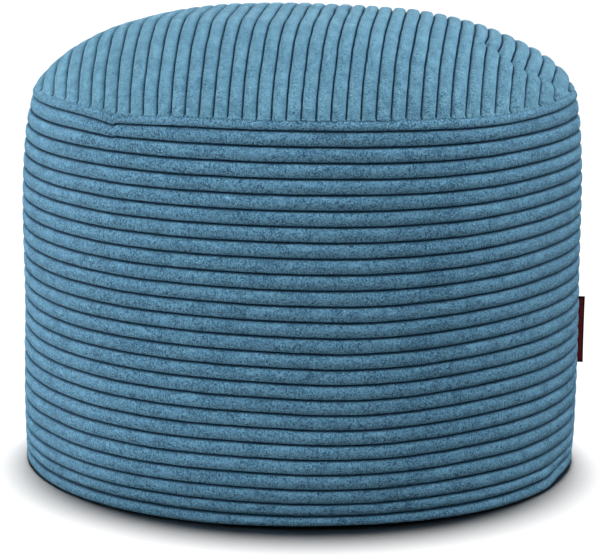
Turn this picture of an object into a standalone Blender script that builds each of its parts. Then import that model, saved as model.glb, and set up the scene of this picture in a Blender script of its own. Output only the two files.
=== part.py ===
"""Round bean bag footstool covered in wide-wale corduroy.

The ribbed side band and the filled form inside it are one turned solid. A crowned top panel stands on
the side's top seam, a flat base panel lies under it, and a folded ribbon tab is held in the side seam.
Metres, +Z up, front at -Y, origin on the floor at the centre of the base.
"""

import math

import bmesh
import bpy

# Outer form
BELLY_RADIUS = 0.250  # widest radius of the side
BELLY_HEIGHT = 0.180
SEAM_HEIGHT = 0.338  # where the side meets the top panel
CROWN_RISE = 0.067  # of the top panel above its seam
TOP_DRAW_IN = 0.008  # how far the side is drawn in at the top seam
TOP_DRAW_POWER = 3.3
BASE_DRAW_IN = 0.009  # how far the side is drawn in at the floor
BASE_DRAW_POWER = 4.7
CROWN_FULLNESS = 3.0  # 2 is a plain cap, more is flatter in the middle
CROWN_SHOULDER = 1.3  # 1 is a sharp shoulder, more is a round one
PANEL_RADIUS = 0.2405  # outer edge of the top panel

# Corduroy
WALE_PITCH = 0.0128
WALE_DEPTH = 0.0022
WALE_SHOULDER = 0.27  # of the pitch, from a wale's middle to each edge of its crest
FIRST_GROOVE_HEIGHT = 0.3305
WHOLE_SIDE_WALES = 24
LOWEST_WALE_PITCH = 0.0107  # the last whole wale is squeezed
TOP_WALE_TURN = math.radians(3.5)  # the top's wales run front to back, their far end to the right

# Cloth and gaps
CLOTH_THICKNESS = 0.003
GAP = 0.0003
LEDGE_EDGE_INSET = 0.0015  # the side's upper edge, in from its last crest
CROWN_CLEARANCE = 0.007  # from the top panel's crests in to the filled form's crown
PANEL_INSET = CLOTH_THICKNESS + WALE_DEPTH  # from the top panel's crests in to its underside

GROOVE_FADE_HEIGHT = 0.019  # above the seam, where the top's grooves reach their full depth

# Base
BASE_PANEL_RADIUS = 0.2350
BASE_EDGE_ROUND = 0.0008
UNDERSIDE_HEIGHT = CLOTH_THICKNESS + GAP  # of the filled form, over the base panel
FLAT_UNDERSIDE_RADIUS = 0.2362
TUCK_STEPS = 3  # sections of the lowest wale, which turns under
TUCK_SHARE = 0.7  # of the height under the last groove

# Side tab
TAB_HEIGHT = 0.0625
TAB_REACH = 0.021
TAB_LAYER = 0.0011
TAB_LAYER_GAP = 0.0004
TAB_MIDDLE_HEIGHT = 0.105
TAB_TURN = math.radians(12.5)  # behind +X

# Resolution
TURN_STEPS = 36
CHORD_STEPS = 6  # from the middle of the crown to its edge
ARC_SAMPLES = 400

# Soft dents of the side: where (degrees from the front, height), how far they spread,
# how deep they go in and how far they pull the wales down
SIDE_DENTS = (
    {"turn": -39, "half_turn": 5, "height": 0.326, "spread": 0.030, "depth": 0.0015, "drop": 0.0035},
    {"turn": 69, "half_turn": 6, "height": 0.016, "spread": 0.018, "depth": 0.0020, "drop": 0.0012},
    {"turn": 4, "half_turn": 17, "height": 0.020, "spread": 0.018, "depth": 0.0015, "drop": 0.0010},
)
SHOULDER_SHIFT = 0.004  # the crown is fuller on the right
CREASE_FROM = (0.120, -0.108)
CREASE_TO = (0.215, -0.084)
CREASE_HALF_WIDTH = 0.016
CREASE_DEPTH = 0.0020


def clear_scene():
    for old in list(bpy.data.objects):
        bpy.data.objects.remove(old, do_unlink=True)


def make_collection(name):
    made = bpy.data.collections.new(name)
    bpy.context.scene.collection.children.link(made)
    return made


def make_material(name, colour, roughness):
    material = bpy.data.materials.new(name)
    material.use_nodes = True
    shader = material.node_tree.nodes["Principled BSDF"]
    shader.inputs["Base Color"].default_value = (*colour, 1.0)
    shader.inputs["Roughness"].default_value = roughness
    shader.inputs["Metallic"].default_value = 0.0
    material.diffuse_color = (*colour, 1.0)
    return material


def add_object(home, name, mesh, material):
    made = bpy.data.objects.new(name, mesh)
    home.objects.link(made)
    mesh.materials.append(material)
    return made


# ---- The outer form ----


def side_radius(height):
    """Radius over the crests of the side's wales."""
    over = max(0.0, height - BELLY_HEIGHT) / (SEAM_HEIGHT - BELLY_HEIGHT)
    under = max(0.0, BELLY_HEIGHT - height) / BELLY_HEIGHT
    return BELLY_RADIUS - TOP_DRAW_IN * over**TOP_DRAW_POWER - BASE_DRAW_IN * under**BASE_DRAW_POWER


def crown_height(distance, radius, rise):
    """Height of a crown at a distance from its middle."""
    share = min(1.0, distance / radius)
    return SEAM_HEIGHT + rise * (1.0 - share**CROWN_FULLNESS) ** (1.0 / CROWN_SHOULDER)


def side_groove_heights():
    heights = [FIRST_GROOVE_HEIGHT - WALE_PITCH * i for i in range(WHOLE_SIDE_WALES + 1)]
    heights.append(heights[-1] - LOWEST_WALE_PITCH)
    return heights


def crease_share(x, y):
    """1 on the line of the top's crease, fading to 0 beside it and past its ends."""
    (ax, ay), (bx, by) = CREASE_FROM, CREASE_TO
    length_squared = (bx - ax) ** 2 + (by - ay) ** 2
    along = ((x - ax) * (bx - ax) + (y - ay) * (by - ay)) / length_squared
    along = min(1.0, max(0.0, along))
    off = math.hypot(x - ax - along * (bx - ax), y - ay - along * (by - ay))
    return math.exp(-((off / CREASE_HALF_WIDTH) ** 2))


def make_uneven(mesh):
    """Moves a mesh's points by the soft dents of the side and the lean and crease of the crown."""
    for vertex in mesh.vertices:
        x, y, z = vertex.co
        distance = math.hypot(x, y)
        turn = math.atan2(x, -y)
        share = min(1.0, distance / PANEL_RADIUS)
        if z > SEAM_HEIGHT + CLOTH_THICKNESS:
            lift = (z - SEAM_HEIGHT) / CROWN_RISE
            x += SHOULDER_SHIFT * 4.0 * share * (1.0 - share)
            z -= CREASE_DEPTH * min(1.0, lift * 3.0) * crease_share(x, y)
        for dent in SIDE_DENTS:
            beside = (math.degrees(turn) - dent["turn"]) / dent["half_turn"]
            above = (z - dent["height"]) / dent["spread"]
            force = math.exp(-beside * beside - above * above) * share**8
            # The seam and the underside stay where their panels meet them.
            room = max(0.0, min(z - UNDERSIDE_HEIGHT, SEAM_HEIGHT - z))
            force *= min(1.0, room / WALE_PITCH)
            inward = 1.0 - dent["depth"] * force / BELLY_RADIUS
            x *= inward
            y *= inward
            z -= dent["drop"] * force
        vertex.co = (x, y, z)


def baked(made):
    """Replaces an object's mesh with its evaluated one, so that its points can be moved."""
    graph = bpy.context.evaluated_depsgraph_get()
    mesh = bpy.data.meshes.new_from_object(made.evaluated_get(graph))
    made.modifiers.clear()
    made.data = mesh
    return mesh


def smooth(made):
    made.data.shade_smooth()
    made.data.set_sharp_from_angle(angle=math.radians(50))


# ---- Side and filled form ----


def crown_profile(inset):
    """(radius, height) points of a crown inside the top panel's crests, from its middle to its edge."""
    radius = PANEL_RADIUS - inset
    shares = [math.sin(math.pi / 2.0 * i / CHORD_STEPS) for i in range(CHORD_STEPS + 1)]
    return [(radius * s, crown_height(radius * s, radius, CROWN_RISE - inset)) for s in shares]


def side_profile():
    """(radius, height) points from the crown's middle, down the ribbed side and in to the axis below."""
    points = crown_profile(CROWN_CLEARANCE)
    points.append((side_radius(SEAM_HEIGHT) - LEDGE_EDGE_INSET, SEAM_HEIGHT))
    grooves = side_groove_heights()
    points.append((side_radius(grooves[0]), (SEAM_HEIGHT + grooves[0]) / 2.0))
    for upper, lower in zip(grooves, grooves[1:]):
        points.append((side_radius(upper) - WALE_DEPTH, upper))
        middle = (upper + lower) / 2.0
        half_crest = WALE_SHOULDER * (upper - lower)
        for height in (middle + half_crest, middle - half_crest):
            points.append((side_radius(height), height))
    points.append((side_radius(grooves[-1]) - WALE_DEPTH, grooves[-1]))
    tuck_radius = side_radius(grooves[-1]) - FLAT_UNDERSIDE_RADIUS
    tuck_height = (grooves[-1] - UNDERSIDE_HEIGHT) * TUCK_SHARE
    for i in range(TUCK_STEPS + 1):
        bend = math.pi / 2.0 * i / TUCK_STEPS
        radius = FLAT_UNDERSIDE_RADIUS + tuck_radius * math.cos(bend)
        points.append((radius, UNDERSIDE_HEIGHT + tuck_height * (1.0 - math.sin(bend))))
    points.append((0.0, UNDERSIDE_HEIGHT))
    return points


def turned_object(home, name, profile, material):
    """A closed body turned about Z from a profile that runs down its outer side."""
    mesh = bpy.data.meshes.new(name)
    edges = [(i, i + 1) for i in range(len(profile) - 1)]
    mesh.from_pydata([(radius, 0.0, height) for radius, height in profile], edges, [])
    made = add_object(home, name, mesh, material)
    turned = made.modifiers.new("turned", "SCREW")
    turned.axis = "Z"
    turned.angle = 2.0 * math.pi
    turned.steps = TURN_STEPS
    turned.render_steps = TURN_STEPS
    turned.use_merge_vertices = True
    turned.merge_threshold = 0.00001
    make_uneven(baked(made))
    return made


def build_side(home, material):
    smooth(turned_object(home, "side_body", side_profile(), material))


# ---- Top panel ----


def top_wale_lines():
    """(distance across, whether it is a groove) of the top's lines, even along the crowned cloth."""
    reach = PANEL_RADIUS - GAP
    step = 2.0 * reach / ARC_SAMPLES
    across = [-reach + step * i for i in range(ARC_SAMPLES + 1)]
    heights = [crown_height(abs(x), PANEL_RADIUS, CROWN_RISE) for x in across]
    lengths = [0.0]
    for i in range(ARC_SAMPLES):
        lengths.append(lengths[-1] + math.hypot(step, heights[i + 1] - heights[i]))
    wales = round(lengths[-1] / WALE_PITCH)
    shares = [(0.0, True)]
    for wale in range(wales):
        middle = wale + 0.5
        shares += [(middle - WALE_SHOULDER, False), (middle + WALE_SHOULDER, False), (wale + 1.0, True)]
    lines = []
    sample = 0
    for share, groove in shares:
        wanted = lengths[-1] * share / wales
        while sample < ARC_SAMPLES - 1 and lengths[sample + 1] < wanted:
            sample += 1
        part = (wanted - lengths[sample]) / (lengths[sample + 1] - lengths[sample])
        lines.append((across[sample] + step * part, groove))
    return lines


def ribbed_crown():
    """A closed mesh of the space under the top panel's wales, down to the panel's flat edge."""
    lines = top_wale_lines()
    chords = [math.sin(math.pi / 2.0 * i / CHORD_STEPS) for i in range(-CHORD_STEPS, CHORD_STEPS + 1)]
    grid = bmesh.new()
    bmesh.ops.create_grid(grid, x_segments=len(lines) - 1, y_segments=len(chords) - 1, size=1.0)
    cosine, sine = math.cos(TOP_WALE_TURN), math.sin(TOP_WALE_TURN)
    edge = SEAM_HEIGHT + GAP
    for vertex in grid.verts:
        across, groove = lines[round((vertex.co.x + 1.0) / 2.0 * (len(lines) - 1))]
        chord = chords[round((vertex.co.y + 1.0) / 2.0 * (len(chords) - 1))]
        along = chord * math.sqrt(PANEL_RADIUS**2 - across**2)
        height = crown_height(math.hypot(across, along), PANEL_RADIUS, CROWN_RISE)
        if groove:
            # A groove ends softly at the panel's edge.
            height -= WALE_DEPTH * min(1.0, (height - SEAM_HEIGHT) / GROOVE_FADE_HEIGHT)
        height = max(height, edge + CLOTH_THICKNESS)
        vertex.co = (across * cosine + along * sine, along * cosine - across * sine, height)
    border = [e for e in grid.edges if e.is_boundary]
    lip = bmesh.ops.extrude_edge_only(grid, edges=border)["geom"]
    for vertex in (g for g in lip if isinstance(g, bmesh.types.BMVert)):
        vertex.co.z = edge
    bmesh.ops.contextual_create(grid, geom=[e for e in grid.edges if e.is_boundary])
    bmesh.ops.recalc_face_normals(grid, faces=grid.faces)
    mesh = bpy.data.meshes.new("top_panel")
    grid.to_mesh(mesh)
    grid.free()
    make_uneven(mesh)
    return mesh


def build_top_panel(home, cutters, material):
    hollow_profile = crown_profile(PANEL_INSET)
    hollow_radius = hollow_profile[-1][0]
    hollow_profile += [(hollow_radius, SEAM_HEIGHT - CLOTH_THICKNESS), (0.0, SEAM_HEIGHT - CLOTH_THICKNESS)]
    hollow = turned_object(cutters, "top_panel_hollow", hollow_profile, material)
    hollow.hide_render = True
    hollow.display_type = "WIRE"
    made = add_object(home, "top_panel", ribbed_crown(), material)
    cut = made.modifiers.new("hollow", "BOOLEAN")
    cut.operation = "DIFFERENCE"
    cut.solver = "EXACT"
    cut.object = hollow
    smooth(made)


# ---- Base panel ----


def build_base_panel(home, material):
    disc = bmesh.new()
    bmesh.ops.create_cone(
        disc,
        cap_ends=True,
        segments=TURN_STEPS,
        radius1=BASE_PANEL_RADIUS,
        radius2=BASE_PANEL_RADIUS,
        depth=CLOTH_THICKNESS,
    )
    bmesh.ops.translate(disc, verts=disc.verts, vec=(0.0, 0.0, CLOTH_THICKNESS / 2.0))
    mesh = bpy.data.meshes.new("base_panel")
    disc.to_mesh(mesh)
    disc.free()
    made = add_object(home, "base_panel", mesh, material)
    edge = made.modifiers.new("edge", "BEVEL")
    edge.width = BASE_EDGE_ROUND
    edge.segments = 1
    edge.limit_method = "ANGLE"
    smooth(made)
    return made


# ---- Side tab ----


def tab_outline():
    """The folded ribbon seen from above: two layers a little apart, joined by a round fold at the far end."""
    half = TAB_LAYER + TAB_LAYER_GAP / 2.0
    bend_middle = TAB_REACH - half
    fold_steps = 8
    outer, inner = [], []
    for i in range(fold_steps + 1):
        bend = -math.pi / 2.0 + math.pi * i / fold_steps
        outer.append((bend_middle + half * math.cos(bend), half * math.sin(bend)))
        hollow = TAB_LAYER_GAP / 2.0
        inner.append((bend_middle + hollow * math.cos(bend), hollow * math.sin(bend)))
    hollow_ends = [(0.0, TAB_LAYER_GAP / 2.0), *reversed(inner), (0.0, -TAB_LAYER_GAP / 2.0)]
    return [(0.0, -half), *outer, (0.0, half), *hollow_ends]


def build_side_tab(home, material):
    outline = bpy.data.curves.new("side_label_outline", "CURVE")
    outline.dimensions = "2D"
    outline.fill_mode = "BOTH"
    outline.extrude = TAB_HEIGHT / 2.0
    points = tab_outline()
    spline = outline.splines.new("POLY")
    spline.points.add(len(points) - 1)
    for point, (along, across) in zip(spline.points, points):
        point.co = (along, across, 0.0, 1.0)
    spline.use_cyclic_u = True
    curve = bpy.data.objects.new("side_label_curve", outline)
    home.objects.link(curve)
    foot = side_radius(TAB_MIDDLE_HEIGHT) + GAP
    curve.rotation_euler = (0.0, 0.0, TAB_TURN)
    curve.location = (foot * math.cos(TAB_TURN), foot * math.sin(TAB_TURN), TAB_MIDDLE_HEIGHT)
    bpy.context.view_layer.update()
    graph = bpy.context.evaluated_depsgraph_get()
    mesh = bpy.data.meshes.new_from_object(curve.evaluated_get(graph))
    welded = bmesh.new()
    welded.from_mesh(mesh)
    bmesh.ops.remove_doubles(welded, verts=welded.verts, dist=0.00001)
    welded.to_mesh(mesh)
    welded.free()
    made = add_object(home, "side_label", mesh, material)
    made.matrix_world = curve.matrix_world
    bpy.data.objects.remove(curve, do_unlink=True)
    smooth(made)
    return made


def main():
    clear_scene()
    home = make_collection("bean_bag_footstool")
    cutters = make_collection("cutters")
    side_cloth = make_material("side_corduroy", (0.075, 0.175, 0.245), 0.9)
    top_cloth = make_material("top_corduroy", (0.120, 0.275, 0.375), 0.9)
    base_cloth = make_material("base_corduroy", (0.050, 0.115, 0.160), 0.95)
    ribbon = make_material("label_ribbon", (0.060, 0.008, 0.010), 0.6)
    build_side(home, side_cloth)
    build_top_panel(home, cutters, top_cloth)
    build_base_panel(home, base_cloth)
    build_side_tab(home, ribbon)


main()
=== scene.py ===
"""The finished look of a round bean bag footstool in wide-wale corduroy.

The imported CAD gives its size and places. This script makes the covers over it: the ribbed side, the
crowned top panel, the base panel and the folded side label, then their materials, the floor, the
lights and the camera. Metres, +Z up, front at -Y. Turns go from the front towards +X, and are in
degrees in the tables and in radians in the functions.
"""

import math

import bmesh
import bpy
import numpy as np
from mathutils import Matrix, Vector


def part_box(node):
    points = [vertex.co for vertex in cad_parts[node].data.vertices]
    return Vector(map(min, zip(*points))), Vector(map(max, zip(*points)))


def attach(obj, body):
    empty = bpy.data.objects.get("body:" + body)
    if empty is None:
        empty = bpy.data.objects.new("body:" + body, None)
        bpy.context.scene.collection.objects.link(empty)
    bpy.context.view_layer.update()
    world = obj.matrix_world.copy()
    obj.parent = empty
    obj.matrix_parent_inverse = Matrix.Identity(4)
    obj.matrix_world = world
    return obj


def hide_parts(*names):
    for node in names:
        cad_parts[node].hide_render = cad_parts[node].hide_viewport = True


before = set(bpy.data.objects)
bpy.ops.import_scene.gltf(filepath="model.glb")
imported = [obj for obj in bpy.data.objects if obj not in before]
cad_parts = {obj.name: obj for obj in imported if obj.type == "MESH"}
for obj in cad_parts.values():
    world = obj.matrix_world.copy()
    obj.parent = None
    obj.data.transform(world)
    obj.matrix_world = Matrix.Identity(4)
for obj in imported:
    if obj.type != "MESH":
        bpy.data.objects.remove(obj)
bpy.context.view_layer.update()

# ---- Sizes and places, from the frame ----

SIDE_LOW, SIDE_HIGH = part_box("side_body")
PANEL_LOW, PANEL_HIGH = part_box("top_panel")
BASE_LOW, BASE_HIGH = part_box("base_panel")
LABEL_LOW, LABEL_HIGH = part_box("side_label")

# The outer form: the CAD's, but for a fuller lower edge and a crown that leans
BELLY_RADIUS = (SIDE_HIGH.x - SIDE_LOW.x) / 2.0
BELLY_HEIGHT = 0.180  # where the side is widest
SEAM_HEIGHT = PANEL_LOW.z
CROWN_RISE = PANEL_HIGH.z - SEAM_HEIGHT
PANEL_RADIUS = (PANEL_HIGH.x - PANEL_LOW.x) / 2.0
TOP_DRAW_IN = 0.008  # how far the side is drawn in at the top seam
TOP_DRAW_POWER = 3.3
BASE_DRAW_IN = 0.0012  # and at the floor
BASE_DRAW_POWER = 4.7
CROWN_FULLNESS = 3.0  # 2 is a plain cap, more is flatter in the middle
CROWN_SHOULDER = 1.32  # 1 is a sharp shoulder, more is a round one
SHOULDER_LEAN = 0.195  # the crown's shoulder is rounder on the right and sharper on the left
SHOULDER_SHIFT = -0.006  # how far to the right the crown lies, halfway out from its middle
LEFT_TUCK = 0.003  # the top seam is drawn in on the left
FILL_CLEARANCE = 0.007  # from the top panel in to the filled form under it

# Corduroy
WALE_PITCH = 0.0128
WALE_DEPTH = 0.0042  # from a wale's crest to the bottom of its slits
SLIT_SHARE = 0.26  # of half a wale, taken up by the wall of its slit
# How far a wale's pile falls from its middle to a slit, and the power of that fall
EVEN_FLANK = (0.0012, 3.0)
UPPER_FLANK = (0.0011, 3.4)
LOWER_FLANK = (0.0024, 2.9)
# Places of a wale's points across it, from its upper edge to its lower slit
WALE_SECTION = (0.93, 0.82, 0.50, 0.17, -0.17, -0.50, -0.82, -0.93, -1.0)
BASE_FLANK = (0.0004, 6.0)
BASE_RIB_DEPTH = 0.0011  # the base's wales are pressed nearly flat
BASE_PUCKERS = 46
FIRST_GROOVE_HEIGHT = 0.3298
WHOLE_SIDE_WALES = 24
LOWEST_WALE_PITCH = 0.0107
HEM_LIFT = 0.0028  # of the lowest wale off the floor, at the front
HEM_LIFT_TURN = 8.0
HEM_LIFT_HALF_TURN = 30.0
# The lowest wale turns under: place across it, how far in it lies and its share of the wale's height
HEM_ROWS = (
    (0.93, 0.0024, 0.93),
    (0.8, 0.0011, 0.82),
    (0.5, 0.0002, 0.62),
    (0.1, 0.0, 0.42),
    (-0.3, 0.0006, 0.20),
    (-0.6, 0.0018, 0.06),
    (-0.8, 0.0036, 0.02),
    (-0.95, 0.0070, 0.10),
)
# The top's wales run front to back. Across its front they are even but for a slight squeeze at the
# sides; they lean to the right going back, more so on the right, and close up again past the middle.
TOP_WALE_PITCH = 0.01235
TOP_WALE_SQUEEZE = 0.0000010
TOP_WALE_MIDDLE = 0.26  # of a wale, from a slit to the middle of the panel
TOP_WALE_LEAN = 0.064
TOP_WALE_FAN = (0.32, -0.60, 3.0)  # how far they spread, by the first three powers of their distance
TOP_FRONT = 0.160  # distance in front of the middle at which they are even
TOP_TURN_BACK = 0.040  # how gently they turn from spreading to closing up

# The side's vertical seam, which holds the label
SEAM_TURN = math.atan2(LABEL_HIGH.x + LABEL_LOW.x, -(LABEL_HIGH.y + LABEL_LOW.y))
SEAM_SINK = 0.0034
SEAM_HALF_WIDTH = 0.0030
SEAM_MISMATCH = 0.0011  # how far the wales miss each other there
SEAM_COLUMNS = (0.0004, 0.0012, 0.0022, 0.0036, 0.0056)  # extra columns beside it

# The strip between the top seam and the side's first groove
STRIP_TOP = 0.17  # place of its first row, across a wale
STRIP_RISE = 0.004  # of the wale that it is cut from, over the seam
STRIP_SWELL = 0.0014  # how far it stands out,
STRIP_ROLL = 0.0022  # and turns in above
TURNED_IN_ROWS = ((0.0056, -0.0014), (0.0040, 0.0002), (0.0028, 0.0006), (0.0021, 0.0003))  # in, up

# Unevenness of the form, of the pile and of the lines of the slits, slow and fine
SIDE_SWELL = 0.0008
SIDE_PILE_SWELL = 0.00015
SIDE_LINE_WANDER = (0.00012, 0.00006)
TOP_SWELL = 0.0009
TOP_PILE_SWELL = 0.00018
TOP_LINE_WANDER = (0.00022, 0.00012)
SEAM_WOBBLE = 0.0004
PUCKER_RISES = (0.0006, 0.0009)  # of the base's edge, even and by its puckers

# Cloth of the label and the base
LABEL_THICKNESS = 0.0005
LABEL_HALF_GAP = 0.0007  # between its two layers
LABEL_HELD = 0.004  # how deep in the seam its ends are
BASE_THICKNESS = 0.0008

# Resolution
SIDE_COLUMNS = 372
TOP_ROWS = 240
TOP_WALES = 24  # on either side of the middle, more than meet the panel
BASE_ROWS = 60
LINE_SAMPLES = 601

# Soft dents of the side: turn, height, spreads, depth inwards and how far the wales are pulled down
SIDE_DENTS = (
    {"turn": -39, "half_turn": 4, "height": 0.330, "spread": 0.016, "depth": 0.0022, "drop": 0.0008},
    {"turn": 71, "half_turn": 7, "height": 0.008, "spread": 0.013, "depth": 0.0042, "drop": 0.0},
    {"turn": 4, "half_turn": 15, "height": 0.020, "spread": 0.018, "depth": 0.0012, "drop": 0.0010},
    {"turn": 6, "half_turn": 3, "height": 0.013, "spread": 0.008, "depth": 0.0010, "drop": 0.0012},
    {"turn": 15, "half_turn": 3, "height": 0.026, "spread": 0.012, "depth": 0.0010, "drop": 0.0012},
)
# Slow wander of the wales: turn, height, spreads and how far they lie above their even places
SIDE_WANDERS = (
    {"turn": -6, "half_turn": 20, "height": 0.250, "spread": 0.090, "lift": 0.0007},
    {"turn": 12, "half_turn": 18, "height": 0.130, "spread": 0.100, "lift": -0.0032},
    {"turn": 35, "half_turn": 18, "height": 0.300, "spread": 0.050, "lift": -0.0010},
    {"turn": 62, "half_turn": 26, "height": 0.220, "spread": 0.075, "lift": 0.0030},
    {"turn": -72, "half_turn": 40, "height": 0.030, "spread": 0.060, "lift": -0.0034},
    {"turn": 66, "half_turn": 26, "height": 0.010, "spread": 0.030, "lift": -0.0034},
)
# Where the top seam hangs lower than its even height, or higher
SEAM_DROPS = (
    {"turn": -38, "half_turn": 9, "drop": 0.0034},
    {"turn": 40, "half_turn": 15, "drop": 0.0022},
    {"turn": 76, "half_turn": 14, "drop": -0.0028},
)
SEAM_DROP_REACH = 0.014  # down the side
# A pinch at the front left: the wales dip towards it from the left, and start level again past it
PINCH_TURN = -40.0
PINCH_HALF_TURN = 3.8
PINCH_DROP = 0.0030
PINCH_HEIGHT = 0.331
PINCH_SPREAD = 0.016

# The crease on the front right of the top, as a line over the crown (across, along)
CREASE_LINE = (
    (0.158, -0.073),
    (0.168, -0.087),
    (0.179, -0.100),
    (0.190, -0.103),
    (0.202, -0.099),
    (0.213, -0.092),
    (0.222, -0.080),
)
CREASE_HALF_WIDTH = 0.00636
CREASE_FADE = 0.007  # past its ends
CREASE_DEPTH = 0.0018
CREASE_SIDESTEP = 0.0028  # to the left, of the wales right behind it
CREASE_LEAN = 0.030  # how far behind the crease its wales lean back from that


# ---- Small tools ----


def smoothstep(value):
    share = np.clip(value, 0.0, 1.0)
    return share * share * (3.0 - 2.0 * share)


class Waves:
    """Smooth, seeded unevenness through space: a sum of plane waves, mostly between -1 and 1."""

    def __init__(self, seed, length, count=14):
        chance = np.random.default_rng(seed)
        ways = chance.normal(size=(count, 3))
        ways /= np.linalg.norm(ways, axis=1)[:, None]
        lengths = length * chance.uniform(0.65, 1.6, count)
        self.waves = ways * (2.0 * math.pi / lengths)[:, None]
        self.starts = chance.uniform(0.0, 2.0 * math.pi, count)
        self.scale = 1.0 / math.sqrt(count)

    def __call__(self, points):
        return np.sin(points @ self.waves.T + self.starts).sum(axis=-1) * self.scale


def grid_mesh(name, points, facts, closed_round=False, cap_last=False, cap_first=False):
    """A smooth mesh over rows and columns of points, with one named value per point for each fact."""
    rows, columns = points.shape[:2]
    places = np.arange(rows * columns).reshape(rows, columns)
    if closed_round:
        places = np.concatenate([places, places[:, :1]], axis=1)
    quads = np.stack([places[:-1, :-1], places[1:, :-1], places[1:, 1:], places[:-1, 1:]], axis=-1)
    faces = quads.reshape(-1, 4).tolist()
    if cap_first:
        faces.append(places[0, :columns].tolist())
    if cap_last:
        faces.append(places[-1, :columns][::-1].tolist())
    mesh = bpy.data.meshes.new(name)
    mesh.from_pydata(points.reshape(-1, 3).tolist(), [], faces)
    for fact, values in facts.items():
        layer = mesh.attributes.new(fact, "FLOAT", "POINT")
        layer.data.foreach_set("value", np.ascontiguousarray(values, dtype=np.float32).ravel())
    mesh.shade_smooth()
    made = bpy.data.objects.new(name, mesh)
    bpy.context.scene.collection.objects.link(made)
    return made


def bell(value):
    return np.exp(-value * value)


def turned_by(turns, centre):
    """Degrees from a turn given in degrees, the short way round."""
    return (np.degrees(turns) - centre + 180.0) % 360.0 - 180.0


def nearness(spec, turns, heights):
    """How near turns and heights come to a spec's place, from 0 far off to 1 on it."""
    beside = turned_by(turns, spec["turn"]) / spec["half_turn"]
    return bell(beside) * bell((heights - spec["height"]) / spec["spread"])


# ---- The outer form ----


def side_radius(heights):
    """Radius over the crests of the side's wales."""
    over = np.maximum(0.0, heights - BELLY_HEIGHT) / (SEAM_HEIGHT - BELLY_HEIGHT)
    under = np.maximum(0.0, BELLY_HEIGHT - heights) / BELLY_HEIGHT
    return BELLY_RADIUS - TOP_DRAW_IN * over**TOP_DRAW_POWER - BASE_DRAW_IN * under**BASE_DRAW_POWER


def crown_height(distances, radius=PANEL_RADIUS, rise=CROWN_RISE, shoulder=CROWN_SHOULDER):
    share = np.minimum(1.0, distances / radius)
    return SEAM_HEIGHT + rise * (1.0 - share**CROWN_FULLNESS) ** (1.0 / shoulder)


def seam_drop(turns):
    """How far the top seam hangs below its even height."""
    drops = 0.0
    for drop in SEAM_DROPS:
        drops = drops + drop["drop"] * bell(turned_by(turns, drop["turn"]) / drop["half_turn"])
    return drops


def pinch(turns):
    past = turned_by(turns, PINCH_TURN)
    return PINCH_DROP * np.exp(-np.abs(past) / PINCH_HALF_TURN) * smoothstep(0.5 - past / 1.6)


def left_tuck(turns):
    return LEFT_TUCK * np.maximum(0.0, -np.sin(turns)) ** 4


def wale_offset(across, low_flank, high_flank):
    """How far the pile lies in from its crest, where across runs from -1 to 1 over a wale."""
    edge = np.abs(across)
    slit = smoothstep((edge - 1.0 + SLIT_SHARE) / SLIT_SHARE)
    fall = np.where(across < 0.0, low_flank[0], high_flank[0])
    power = np.where(across < 0.0, low_flank[1], high_flank[1])
    return fall * edge**power + (WALE_DEPTH - fall) * slit


def flank_side(across):
    """Near 1 on a wale's lower flank, near -1 on its upper one and 0 at its edges."""
    return -2.6 * across * (1.0 - across * across)


# ---- Side cover ----

slow_swell = Waves(11, 0.17)
pile_swell = Waves(12, 0.035)
line_wander = Waves(13, 0.060)
fine_wander = Waves(14, 0.018)


def side_turns():
    """Turns of the side's columns, even but for some extra ones beside the vertical seam."""
    even = np.linspace(-math.pi, math.pi, SIDE_COLUMNS, endpoint=False)
    beside = np.array(SEAM_COLUMNS) / BELLY_RADIUS
    extra = np.concatenate([SEAM_TURN - beside, SEAM_TURN + beside])
    clear = np.abs(even - SEAM_TURN) > beside[-1] + math.pi / SIDE_COLUMNS
    return np.sort(np.concatenate([even[clear], extra]))


def on_wall(turns, heights):
    radius = side_radius(heights)
    return np.stack([radius * np.sin(turns), -radius * np.cos(turns), heights + 0.0 * turns], axis=-1)


def groove_heights(index, turns):
    """Height of a groove of the side at each turn."""
    even = FIRST_GROOVE_HEIGHT - WALE_PITCH * min(index, WHOLE_SIDE_WALES)
    if index > WHOLE_SIDE_WALES:
        even -= LOWEST_WALE_PITCH
    heights = np.full_like(turns, even)
    room = min(1.0, (even - 0.004) / 0.030)
    for wander in SIDE_WANDERS:
        heights += wander["lift"] * nearness(wander, turns, even) * room
    for dent in SIDE_DENTS:
        heights -= dent["drop"] * nearness(dent, turns, even) * room
    heights -= seam_drop(turns) * math.exp(-(((SEAM_HEIGHT - even) / SEAM_DROP_REACH) ** 1.5))
    heights -= pinch(turns) * bell((even - PINCH_HEIGHT) / PINCH_SPREAD)
    points = on_wall(turns, np.full_like(turns, even))
    slow, fine = SIDE_LINE_WANDER
    heights += (slow * line_wander(points) + fine * fine_wander(points)) * room
    past_seam = turned_by(turns, math.degrees(SEAM_TURN)) / 14.0
    heights += SEAM_MISMATCH * np.sign(past_seam) * np.exp(-np.abs(past_seam)) * room
    return heights


def side_form(turns, heights, inset):
    """Points of the side cover at turns and heights, set in from the crests of its wales."""
    points = on_wall(turns, heights)
    radius = side_radius(heights) - inset
    hold = smoothstep((SEAM_HEIGHT - heights) / 0.03) * smoothstep(heights / 0.03)
    radius += SIDE_SWELL * slow_swell(points) * hold + SIDE_PILE_SWELL * pile_swell(points)
    for dent in SIDE_DENTS:
        radius -= dent["depth"] * nearness(dent, turns, heights)
    beside_seam = np.radians(turned_by(turns, math.degrees(SEAM_TURN))) * BELLY_RADIUS
    radius -= SEAM_SINK * np.exp(-np.abs(beside_seam / SEAM_HALF_WIDTH) ** 1.5)
    radius -= left_tuck(turns) * bell((SEAM_HEIGHT - heights) / 0.020)
    return np.stack([radius * np.sin(turns), -radius * np.cos(turns), heights], axis=-1)


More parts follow.
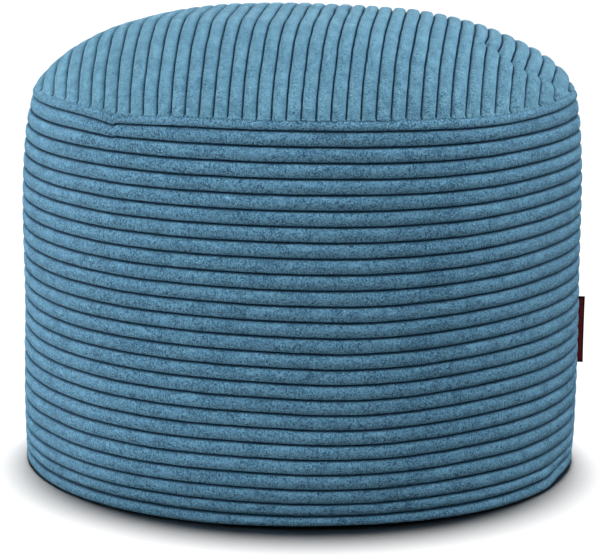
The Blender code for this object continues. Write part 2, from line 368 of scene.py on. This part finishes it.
def build_side_cover():
    """The ribbed side with its turned-in upper edge, its underside and the filled form's crown."""
    turns = side_turns()
    rows, slits, lows = [], [], []

    def add_row(points, slit, low):
        rows.append(points)
        slits.append(np.full_like(turns, slit))
        lows.append(np.full_like(turns, low))

    def ring(radius, height):
        heights = np.full_like(turns, height)
        return np.stack([radius * np.sin(turns), -radius * np.cos(turns), heights], axis=-1)

    # The filled form under the top panel
    inner = PANEL_RADIUS - FILL_CLEARANCE
    for share in (0.05, 0.75, 0.96):
        height = crown_height(share * inner, inner, CROWN_RISE - FILL_CLEARANCE)
        add_row(ring(share * inner, float(height)), 0.3, 0.0)
    # The strip's edge, turned in to the top seam
    seam_radius = float(side_radius(np.float64(SEAM_HEIGHT)))
    for inset, rise in TURNED_IN_ROWS:
        wobble = SEAM_WOBBLE * fine_wander(ring(seam_radius, SEAM_HEIGHT))
        edge = ring(seam_radius - inset - left_tuck(turns), SEAM_HEIGHT + rise)
        edge[:, 2] += wobble - seam_drop(turns)
        add_row(edge, 0.2, 0.0)
    # The strip, then every wale, from its upper slit to its lower one
    upper = SEAM_HEIGHT + STRIP_RISE - seam_drop(turns)
    for index in range(WHOLE_SIDE_WALES + 2):
        lower = groove_heights(index, turns)
        for across in WALE_SECTION:
            if index == 0 and across > STRIP_TOP:
                continue
            heights = lower + (upper - lower) * (across + 1.0) / 2.0
            inset = float(wale_offset(across, LOWER_FLANK, UPPER_FLANK))
            if index == 0:
                inset += STRIP_ROLL * (across + 1.0) ** 2 - STRIP_SWELL
            add_row(side_form(turns, heights, inset), abs(across), flank_side(across))
        upper = lower
    # The lowest wale turns under to the base seam
    roll = float(side_radius(np.float64(0.006)))
    lift = HEM_LIFT * bell(turned_by(turns, HEM_LIFT_TURN) / HEM_LIFT_HALF_TURN)
    for across, inset, share in HEM_ROWS:
        heights = upper * share + lift * (1.0 - share)
        add_row(side_form(turns, heights, inset), abs(across), flank_side(across))
    # The underside, at a slit's full value: painted shade, as dark as in the slits
    for radius in (roll - 0.014, 0.12):
        add_row(ring(radius, BASE_HIGH.z + 0.0003), 1.0, 0.0)
    made = grid_mesh(
        "side_cover",
        np.array(rows),
        {"slit": np.array(slits), "low": np.array(lows)},
        closed_round=True,
        cap_first=True,
        cap_last=True,
    )
    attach(made, "root")
    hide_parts("side_body")
    return made


# ---- Top panel ----


def wale_places(first, count):
    """Every line of a run of wales: its place counted in wales, and across its own wale from -1 to 1."""
    places = [(float(first), -1.0)]
    for wale in range(first, first + count):
        places += [(wale + (1.0 - place) / 2.0, -place) for place in WALE_SECTION]
    return np.array(places).T


def top_line(wales, y):
    """Where a line of the top runs at y, for its place counted in wales from the middle."""
    start = TOP_WALE_PITCH * wales - TOP_WALE_SQUEEZE * wales**3
    fan = sum(share * start ** (power + 1) for power, share in enumerate(TOP_WALE_FAN))
    return start + TOP_WALE_LEAN * (y + TOP_FRONT) + fan * (TOP_FRONT - np.hypot(y, TOP_TURN_BACK))


def line_clearance(wales):
    """How near each line comes to the panel's middle, and the y at which it does."""
    y = np.linspace(-PANEL_RADIUS, PANEL_RADIUS, LINE_SAMPLES)[:, None]
    away = np.hypot(top_line(wales[None, :], y), y)
    return away.min(axis=0), y[away.argmin(axis=0), 0]


def line_ends(wales):
    """The y at which each line meets the panel's edge, at the front and at the back."""
    middle = line_clearance(wales)[1]
    ends = []
    for outside in (-PANEL_RADIUS, PANEL_RADIUS):
        near, far = middle.copy(), np.full_like(middle, outside)
        for _ in range(40):
            half = (near + far) / 2.0
            within = np.hypot(top_line(wales, half), half) < PANEL_RADIUS
            near, far = np.where(within, half, near), np.where(within, far, half)
        ends.append(near)
    return ends


def lines_on_panel():
    """The lines that meet the panel, with one more at either side that only just touches its edge."""
    wales, inside = wale_places(-TOP_WALES, 2 * TOP_WALES)
    wales = wales + TOP_WALE_MIDDLE
    reach = PANEL_RADIUS - 0.0001
    kept = np.flatnonzero(line_clearance(wales)[0] < reach)
    first, last = kept[0] - 1, kept[-1] + 1
    for end, next_to in ((first, kept[0]), (last, kept[-1])):
        near, far = wales[next_to], wales[end]
        for _ in range(30):
            half = (near + far) / 2.0
            if line_clearance(np.array([half]))[0][0] < reach:
                near = half
            else:
                far = half
        wales[end] = near
    return wales[first : last + 1], inside[first : last + 1]


def crease_distance(x, y):
    """Signed distance behind the crease line, and how much of the crease is left past its ends."""
    line = np.array(CREASE_LINE)
    at = np.interp(x, line[:, 0], line[:, 1])
    past = np.maximum(line[0, 0] - x, x - line[-1, 0])
    return y - at, bell(np.maximum(0.0, past) / CREASE_FADE)


def build_top_panel():
    """The crowned top: wales from front to back, their slits ending at the strip of the side."""
    wales, inside = lines_on_panel()
    front, back = line_ends(wales)
    chords = np.sin(math.pi / 2.0 * np.linspace(-1.0, 1.0, TOP_ROWS))[:, None]
    y = (front + back) / 2.0 + (back - front) / 2.0 * chords
    x = top_line(wales, y)
    place = np.broadcast_to(inside, x.shape)
    flat = np.stack([x, y, 0.0 * x], axis=-1)
    edge = np.sqrt(np.clip(1.0 - (np.hypot(x, y) / PANEL_RADIUS) ** 2, 0.0, 1.0))
    loose = smoothstep(edge / 0.35)
    slow, fine = TOP_LINE_WANDER
    x = x + (slow * line_wander(flat + 0.4) + fine * fine_wander(flat + 0.4)) * loose
    behind, strength = crease_distance(x, y)
    lean = np.exp(-np.maximum(0.0, behind) / CREASE_LEAN) * smoothstep(0.5 + behind / 0.0045)
    x = x - CREASE_SIDESTEP * lean * strength * loose
    share = np.minimum(1.0, np.hypot(x, y) / PANEL_RADIUS)
    over = x - SHOULDER_SHIFT * 4.0 * share * (1.0 - share)
    turns = np.arctan2(over, -y)
    distance = np.minimum(np.hypot(over, y), PANEL_RADIUS)
    shoulder = CROWN_SHOULDER + SHOULDER_LEAN * np.sin(turns) * smoothstep(distance / 0.06)
    height = crown_height(distance, shoulder=shoulder)
    step = 0.0005
    ahead = crown_height(distance + step / 2.0, shoulder=shoulder)
    slope = (ahead - crown_height(distance - step / 2.0, shoulder=shoulder)) / step
    tilt = -slope / (distance + 1e-9)
    ways = np.stack([tilt * over, tilt * y, np.ones_like(x)], axis=-1)
    ways /= np.linalg.norm(ways, axis=-1, keepdims=True)
    fade = smoothstep((height - SEAM_HEIGHT) / 0.003)
    inset = wale_offset(place, EVEN_FLANK, EVEN_FLANK) * fade
    points = np.stack([x, y, height], axis=-1)
    swell = TOP_SWELL * slow_swell(points + 0.7) * smoothstep((height - SEAM_HEIGHT) / 0.03)
    swell += TOP_PILE_SWELL * pile_swell(points + 0.7) * fade
    dip = CREASE_DEPTH * bell(behind / CREASE_HALF_WIDTH) * strength
    swell -= dip * smoothstep((height - SEAM_HEIGHT) / 0.01)
    points += ways * (swell - inset)[..., None]
    points[..., 2] -= seam_drop(turns) * bell((PANEL_RADIUS - distance) / 0.012)
    points[..., :2] *= (1.0 - left_tuck(turns) / PANEL_RADIUS * share**12)[..., None]
    facts = {"slit": np.abs(place)[:, ::-1], "low": flank_side(place)[:, ::-1]}
    made = grid_mesh("top_cover", points[:, ::-1], facts)
    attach(made, "root")
    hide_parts("top_panel")
    return made


# ---- Base panel ----


def build_base_panel():
    """The flat base, its wales pressed flat on the floor, with small puckers at its edge."""
    radius = (BASE_HIGH.x - BASE_LOW.x) / 2.0
    half = math.ceil(radius / WALE_PITCH)
    wales, inside = wale_places(-half, 2 * half)
    across = (radius - 0.0002) * wales / half
    chords = np.sin(math.pi / 2.0 * np.linspace(-1.0, 1.0, BASE_ROWS))
    x, along = np.meshgrid(across, chords)
    y = along * np.sqrt(radius**2 - x**2)
    share = np.hypot(x, y) / radius
    turns = np.arctan2(x, -y)
    pucker = 0.5 + 0.5 * np.sin(turns * BASE_PUCKERS + 2.0 * np.sin(turns * 5.0))
    edge = smoothstep((share - 0.9) / 0.1)
    place = np.broadcast_to(inside, x.shape)
    pressed = wale_offset(place, BASE_FLANK, BASE_FLANK) * BASE_RIB_DEPTH / WALE_DEPTH
    z = pressed * (1.0 - edge) + edge * (PUCKER_RISES[0] + PUCKER_RISES[1] * pucker)
    points = np.stack([x, y, z], axis=-1)
    made = grid_mesh("base_cover", points, {"slit": np.abs(place)})
    thick = made.modifiers.new("cloth", "SOLIDIFY")
    thick.thickness = BASE_THICKNESS
    thick.offset = -1.0
    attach(made, "root")
    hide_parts("base_panel")
    return made


# ---- Side label ----


def build_label():
    """A ribbon folded in half, held by its ends in the side's vertical seam."""
    middle = (LABEL_LOW + LABEL_HIGH) / 2.0
    height = LABEL_HIGH.z - LABEL_LOW.z
    tip = math.hypot(LABEL_HIGH.x, LABEL_HIGH.y) - 0.0012
    root = BELLY_RADIUS - LABEL_HELD
    half_gap = LABEL_HALF_GAP
    reach = tip - root - half_gap
    outline = [(root + reach * i / 10.0, half_gap) for i in range(11)]
    for i in range(1, 8):
        bend = math.pi / 2.0 - math.pi * i / 8.0
        outline.append((root + reach + half_gap * math.cos(bend), half_gap * math.sin(bend)))
    outline += [(root + reach * i / 10.0, -half_gap) for i in range(10, -1, -1)]
    rises = np.concatenate([[0.0, 0.012, 0.03], np.linspace(0.06, 0.94, 22), [0.97, 0.988, 1.0]])
    points = np.zeros((len(rises), len(outline), 3))
    borders = np.zeros(points.shape[:2])
    way = Vector((math.sin(SEAM_TURN), -math.cos(SEAM_TURN), 0.0))
    side = Vector((-way.y, way.x, 0.0))
    for row, rise in enumerate(rises):
        for column, (out, off) in enumerate(outline):
            free = max(0.0, (out - BELLY_RADIUS) / (tip - BELLY_RADIUS))
            warp = 0.0009 * free * math.sin(2.2 * rise + 0.4) - 0.0011 * free * free
            droop = -0.0012 * free
            selvedge = 0.00018 if min(rise, 1.0 - rise) < 0.02 else 0.0
            place = way * out + side * (off + math.copysign(selvedge, off) + warp)
            points[row, column] = (place.x, place.y, middle.z + height * (rise - 0.5) + droop)
            edge = min(rise, 1.0 - rise) * height
            borders[row, column] = min(edge, tip - out)
    made = grid_mesh("label_ribbon", points, {"border": borders})
    thick = made.modifiers.new("ribbon", "SOLIDIFY")
    thick.thickness = LABEL_THICKNESS
    thick.offset = 0.0
    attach(made, "root")
    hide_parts("side_label")
    return made


# ---- Materials ----


class Shading:
    """A material's node tree, with short calls for the nodes that the cloths use."""

    def __init__(self, name):
        self.material = bpy.data.materials.new(name)
        self.material.use_nodes = True
        self.tree = self.material.node_tree
        self.shader = self.tree.nodes["Principled BSDF"]
        self.place = self.tree.nodes.new("ShaderNodeTexCoord").outputs["Object"]

    def join(self, source, socket):
        if isinstance(source, bpy.types.NodeSocket):
            self.tree.links.new(source, socket)
        else:
            socket.default_value = source

    def fact(self, name):
        node = self.tree.nodes.new("ShaderNodeAttribute")
        node.attribute_name = name
        return node.outputs["Fac"]

    def noise(self, scale, detail=2.0, roughness=0.5, distortion=0.0, place=None):
        node = self.tree.nodes.new("ShaderNodeTexNoise")
        self.join(place or self.place, node.inputs["Vector"])
        node.inputs["Scale"].default_value = scale
        node.inputs["Detail"].default_value = detail
        node.inputs["Roughness"].default_value = roughness
        node.inputs["Distortion"].default_value = distortion
        return node.outputs["Fac"]

    def stretched(self, stretch):
        node = self.tree.nodes.new("ShaderNodeMapping")
        self.join(self.place, node.inputs["Vector"])
        node.inputs["Scale"].default_value = stretch
        return node.outputs["Vector"]

    def math(self, operation, first, second=0.0, third=0.0):
        node = self.tree.nodes.new("ShaderNodeMath")
        node.operation = operation
        for source, socket in zip((first, second, third), node.inputs):
            self.join(source, socket)
        return node.outputs["Value"]

    def vary(self, base, source, amount, middle=0.5):
        """Adds to a base value how far a source lies over its middle, by an amount."""
        return self.math("MULTIPLY_ADD", self.math("SUBTRACT", source, middle), amount, base)

    def spread(self, value, low, high, to_low=0.0, to_high=1.0):
        """Maps a value's range smoothly onto another one."""
        node = self.tree.nodes.new("ShaderNodeMapRange")
        node.interpolation_type = "SMOOTHSTEP"
        self.join(value, node.inputs["Value"])
        self.join(low, node.inputs["From Min"])
        self.join(high, node.inputs["From Max"])
        self.join(to_low, node.inputs["To Min"])
        self.join(to_high, node.inputs["To Max"])
        return node.outputs["Result"]

    def mix(self, factor, first, second):
        node = self.tree.nodes.new("ShaderNodeMix")
        node.data_type = "RGBA"
        colours = [s for s in node.inputs if s.type == "RGBA"]
        self.join(factor, node.inputs["Factor"])
        self.join(first, colours[0])
        self.join(second, colours[1])
        return next(s for s in node.outputs if s.type == "RGBA")

    def bump(self, height, strength, distance, normal=None):
        node = self.tree.nodes.new("ShaderNodeBump")
        self.join(height, node.inputs["Height"])
        node.inputs["Strength"].default_value = strength
        node.inputs["Distance"].default_value = distance
        if normal:
            self.join(normal, node.inputs["Normal"])
        return node.outputs["Normal"]


# Colours of the pile, deep in it, on it and at its tips
SIDE_PILE = ((0.015, 0.066, 0.126, 1.0), (0.070, 0.208, 0.345, 1.0), (0.162, 0.380, 0.565, 1.0))
# The slits' colour is painted shade, for the shade that falls deep in them
SLIT_PAINTED_SHADE = (0.005, 0.036, 0.078, 1.0)
TOP_PILE = ((0.029, 0.090, 0.148, 1.0), (0.080, 0.208, 0.306, 1.0), (0.146, 0.320, 0.436, 1.0))


def corduroy(name, pile_colours, along, roughness, painted_shade_from):
    """Wide-wale corduroy: mottled pile, rougher on the wales' lower flanks, painted shade in the slits.
    """
    look = Shading(name)
    deep, mid, bright = pile_colours
    slit = look.fact("slit")
    low = look.fact("low")
    speckle = look.noise(680.0, 2.0, 0.65, 0.4)
    tufts = look.noise(380.0, 1.0, 0.5, 0.8)
    curls = look.noise(390.0, 0.0, 0.5, 1.6)
    curls = look.math("ABSOLUTE", look.math("SUBTRACT", curls, 0.5))
    curls = look.spread(curls, 0.0, 0.07)
    streaks = look.noise(170.0, 2.0, 0.5, 0.3, place=look.stretched(along))
    mottle = look.noise(62.0, 2.0, 0.5)
    clouds = look.noise(13.0, 1.0, 0.5)
    rough_flank = look.spread(low, -0.6, 0.6, 0.5 * roughness, roughness)
    grain = look.vary(0.5, speckle, 3.4)
    grain = look.vary(grain, tufts, 1.2)
    grain = look.vary(grain, curls, 1.1, middle=0.7)
    grain = look.vary(0.5, grain, rough_flank)
    tone = look.vary(grain, streaks, 1.3)
    tone = look.vary(tone, mottle, 0.6)
    tone = look.vary(tone, clouds, 0.5)
    pile = look.mix(look.spread(tone, -0.1, 0.5), deep, mid)
    pile = look.mix(look.spread(tone, 0.5, 1.15), pile, bright)
    # Painted shade: towards each slit the pile turns to the slits' shade colour and loses its sheen
    painted_slit_mask = look.vary(slit, tufts, 0.10)
    painted_slit_shade = look.spread(painted_slit_mask, painted_shade_from, 0.97)
    look.join(look.mix(painted_slit_shade, pile, SLIT_PAINTED_SHADE), look.shader.inputs["Base Color"])
    look.join(look.spread(speckle, 0.2, 0.8, 0.80, 0.98), look.shader.inputs["Roughness"])
    fibres = look.noise(1500.0, 2.0, 0.6)
    normal = look.bump(fibres, 0.40, 0.0006)
    normal = look.bump(grain, 1.0, 0.0008, normal)
    normal = look.bump(mottle, 0.35, 0.0016, normal)
    look.join(normal, look.shader.inputs["Normal"])
    look.shader.inputs["Specular IOR Level"].default_value = 0.12
    look.join(look.spread(painted_slit_shade, 0.0, 0.8, 0.40, 0.02), look.shader.inputs["Sheen Weight"])
    look.shader.inputs["Sheen Roughness"].default_value = 0.45
    look.shader.inputs["Sheen Tint"].default_value = (0.36, 0.70, 0.92, 1.0)
    return look.material


def ribbon(name):
    """Woven satin ribbon in dark red, with a near-black border."""
    look = Shading(name)
    border = look.fact("border")
    weave = look.noise(1400.0, 1.0, 0.5, place=look.stretched((1.0, 1.0, 0.35)))
    wear = look.noise(180.0, 2.0, 0.5)
    red = look.mix(weave, (0.014, 0.001, 0.002, 1.0), (0.130, 0.006, 0.010, 1.0))
    red = look.mix(look.spread(wear, 0.3, 0.9), red, (0.110, 0.010, 0.008, 1.0))
    edge = look.vary(border, weave, 0.0006)
    inner = look.spread(edge, 0.0011, 0.0017)
    look.join(look.mix(inner, (0.004, 0.002, 0.002, 1.0), red), look.shader.inputs["Base Color"])
    look.join(look.spread(weave, 0.2, 0.8, 0.50, 0.70), look.shader.inputs["Roughness"])
    look.join(look.bump(weave, 0.5, 0.0002), look.shader.inputs["Normal"])
    look.shader.inputs["Specular IOR Level"].default_value = 0.12
    return look.material


def dress(made, material):
    made.data.materials.clear()
    made.data.materials.append(material)


# ---- Floor, lights, camera ----

FLOOR_REACH = 40.0
FLOOR_GAP = -0.0003
FLOOR_SHADE_RADIUS = 0.30
FLOOR_SHADE_HEIGHT = -0.001

# Lamps on the footstool: turn from the front, rise above the horizon and power. The low ones stand
# in for light that comes back up from the studio's floor.
LAMP_DISTANCE = 3.0
LAMP_SIZE = 1.4
LAMPS = (
    {"name": "top_box", "turn": 0, "rise": 88, "power": 70.0},
    {"name": "front_left_box", "turn": -60, "rise": 60, "power": 5.0},
    {"name": "left_box", "turn": -75, "rise": 25, "power": 61.0},
    {"name": "front_right_box", "turn": 40, "rise": 30, "power": 4.0},
    {"name": "right_box", "turn": 75, "rise": 38, "power": 21.0, "distance": 1.6},
    {"name": "front_fill", "turn": -5, "rise": 10, "power": 39.0},
    {"name": "back_left_box", "turn": -120, "rise": 5, "power": 74.0},
    {"name": "back_right_box", "turn": 120, "rise": 12, "power": 50.0},
    {"name": "back_box", "turn": 178, "rise": 5, "power": 45.0},
    {"name": "left_bounce", "turn": -75, "rise": -20, "power": 30.0},
    {"name": "front_bounce", "turn": -25, "rise": -30, "power": 18.0},
)
FLOOR_LAMP = {"name": "floor_sun", "turn": -179, "rise": 82, "spread": 13, "power": 8.0}

CAMERA_PLACE = (-0.0013, -2.225, 0.6155)
CAMERA_PITCH = math.radians(11.56)  # below the horizon
CAMERA_ROLL = math.radians(0.64)
CAMERA_LENS = 150.3


def build_floor():
    mesh = bpy.data.meshes.new("floor")
    reach = FLOOR_REACH
    corners = [(-reach, -reach, 0), (reach, -reach, 0), (reach, reach, 0), (-reach, reach, 0)]
    mesh.from_pydata(corners, [], [(0, 1, 2, 3)])
    floor = bpy.data.objects.new("floor", mesh)
    floor.location.z = FLOOR_GAP
    bpy.context.scene.collection.objects.link(floor)
    floor.visible_diffuse = False
    floor.visible_glossy = False
    floor.visible_shadow = False
    look = Shading("floor_paper")
    paper = look.noise(3.0, 2.0, 0.5)
    colour = look.mix(paper, (0.44, 0.44, 0.44, 1.0), (0.46, 0.46, 0.46, 1.0))
    look.join(colour, look.shader.inputs["Base Color"])
    look.shader.inputs["Roughness"].default_value = 0.95
    look.shader.inputs["Specular IOR Level"].default_value = 0.0
    dress(floor, look.material)
    return floor


def build_floor_shade():
    """The floor in the footstool's own shade, which sends no light back up to its lowest wales."""
    mesh = bpy.data.meshes.new("floor_shade")
    ring = bmesh.new()
    bmesh.ops.create_circle(ring, cap_ends=True, segments=64, radius=FLOOR_SHADE_RADIUS)
    ring.to_mesh(mesh)
    ring.free()
    shade = bpy.data.objects.new("floor_shade", mesh)
    shade.location.z = FLOOR_SHADE_HEIGHT
    shade.visible_camera = False
    bpy.context.scene.collection.objects.link(shade)
    look = Shading("floor_shade")
    colour = look.mix(look.noise(3.0), (0.02, 0.02, 0.02, 1.0), (0.03, 0.03, 0.03, 1.0))
    look.join(colour, look.shader.inputs["Base Color"])
    dress(shade, look.material)


def group_of(name, members):
    group = bpy.data.collections.new(name)
    for member in members:
        group.objects.link(member)
    return group


def direction(spec):
    """Unit vector towards a lamp, from its turn and its rise above the horizon."""
    turn, rise = math.radians(spec["turn"]), math.radians(spec["rise"])
    return Vector((math.sin(turn) * math.cos(rise), -math.cos(turn) * math.cos(rise), math.sin(rise)))


def build_lamp(spec, receivers, target):
    light = bpy.data.lights.new(spec["name"], "AREA")
    light.shape = "DISK"
    light.size = LAMP_SIZE
    light.energy = spec["power"]
    lamp = bpy.data.objects.new(spec["name"], light)
    way = direction(spec)
    lamp.location = target + way * spec.get("distance", LAMP_DISTANCE)
    lamp.visible_camera = False
    lamp.rotation_euler = (-way).to_track_quat("-Z", "Y").to_euler()
    bpy.context.scene.collection.objects.link(lamp)
    lamp.light_linking.receiver_collection = receivers


def build_floor_sun(receivers, blockers):
    """Even light for the floor alone, whose soft shadow lies at the footstool's front."""
    light = bpy.data.lights.new(FLOOR_LAMP["name"], "SUN")
    light.energy = FLOOR_LAMP["power"]
    light.angle = math.radians(FLOOR_LAMP["spread"])
    sun = bpy.data.objects.new(FLOOR_LAMP["name"], light)
    sun.rotation_euler = (-direction(FLOOR_LAMP)).to_track_quat("-Z", "Y").to_euler()
    bpy.context.scene.collection.objects.link(sun)
    sun.light_linking.receiver_collection = receivers
    sun.light_linking.blocker_collection = blockers


def build_lights(floor, pieces, covers):
    on_pieces = group_of("lit_pieces", pieces)
    on_floor = group_of("lit_floor", [floor])
    for spec in LAMPS:
        build_lamp(spec, on_pieces, Vector((0.0, 0.0, SEAM_HEIGHT / 2.0)))
    build_floor_sun(on_floor, group_of("shade_makers", covers))


def build_world():
    """White to the camera; a dim, soft surround for the cloth, darker from below."""
    world = bpy.data.worlds.new("studio")
    world.use_nodes = True
    bpy.context.scene.world = world
    tree = world.node_tree
    surround = tree.nodes["Background"]
    surround.inputs["Color"].default_value = (1.0, 1.0, 1.0, 1.0)
    seen = tree.nodes.new("ShaderNodeBackground")
    seen.inputs["Color"].default_value = (1.0, 1.0, 1.0, 1.0)
    place = tree.nodes.new("ShaderNodeTexCoord")
    parts = tree.nodes.new("ShaderNodeSeparateXYZ")
    tree.links.new(place.outputs["Generated"], parts.inputs["Vector"])
    ramp = tree.nodes.new("ShaderNodeMapRange")
    tree.links.new(parts.outputs["Z"], ramp.inputs["Value"])
    ramp.inputs["From Min"].default_value = -0.6
    ramp.inputs["From Max"].default_value = 0.6
    ramp.inputs["To Min"].default_value = 0.005
    ramp.inputs["To Max"].default_value = 0.02
    tree.links.new(ramp.outputs["Result"], surround.inputs["Strength"])
    path = tree.nodes.new("ShaderNodeLightPath")
    mix = tree.nodes.new("ShaderNodeMixShader")
    tree.links.new(path.outputs["Is Camera Ray"], mix.inputs["Fac"])
    tree.links.new(surround.outputs["Background"], mix.inputs[1])
    tree.links.new(seen.outputs["Background"], mix.inputs[2])
    tree.links.new(mix.outputs["Shader"], tree.nodes["World Output"].inputs["Surface"])


def build_camera():
    data = bpy.data.cameras.new("camera")
    data.lens = CAMERA_LENS
    data.clip_end = 200.0
    camera = bpy.data.objects.new("camera", data)
    bpy.context.scene.collection.objects.link(camera)
    aim = Matrix.Rotation(math.pi / 2.0 - CAMERA_PITCH, 4, "X") @ Matrix.Rotation(CAMERA_ROLL, 4, "Z")
    camera.matrix_world = Matrix.Translation(CAMERA_PLACE) @ aim
    bpy.context.scene.camera = camera


# ---- The scene ----


build_camera()
side = build_side_cover()
top = build_top_panel()
base = build_base_panel()
label = build_label()
side_cloth = corduroy("side_corduroy", SIDE_PILE, (0.30, 0.30, 1.0), 2.2, 0.73)
top_cloth = corduroy("top_corduroy", TOP_PILE, (1.0, 0.16, 1.0), 0.9, 0.80)
dress(side, side_cloth)
dress(top, top_cloth)
dress(base, side_cloth)
dress(label, ribbon("label_ribbon"))
floor = build_floor()
build_floor_shade()
build_lights(floor, [side, top, base, label], [side, top, base])
build_world()
bpy.context.scene.view_settings.view_transform = "Standard"
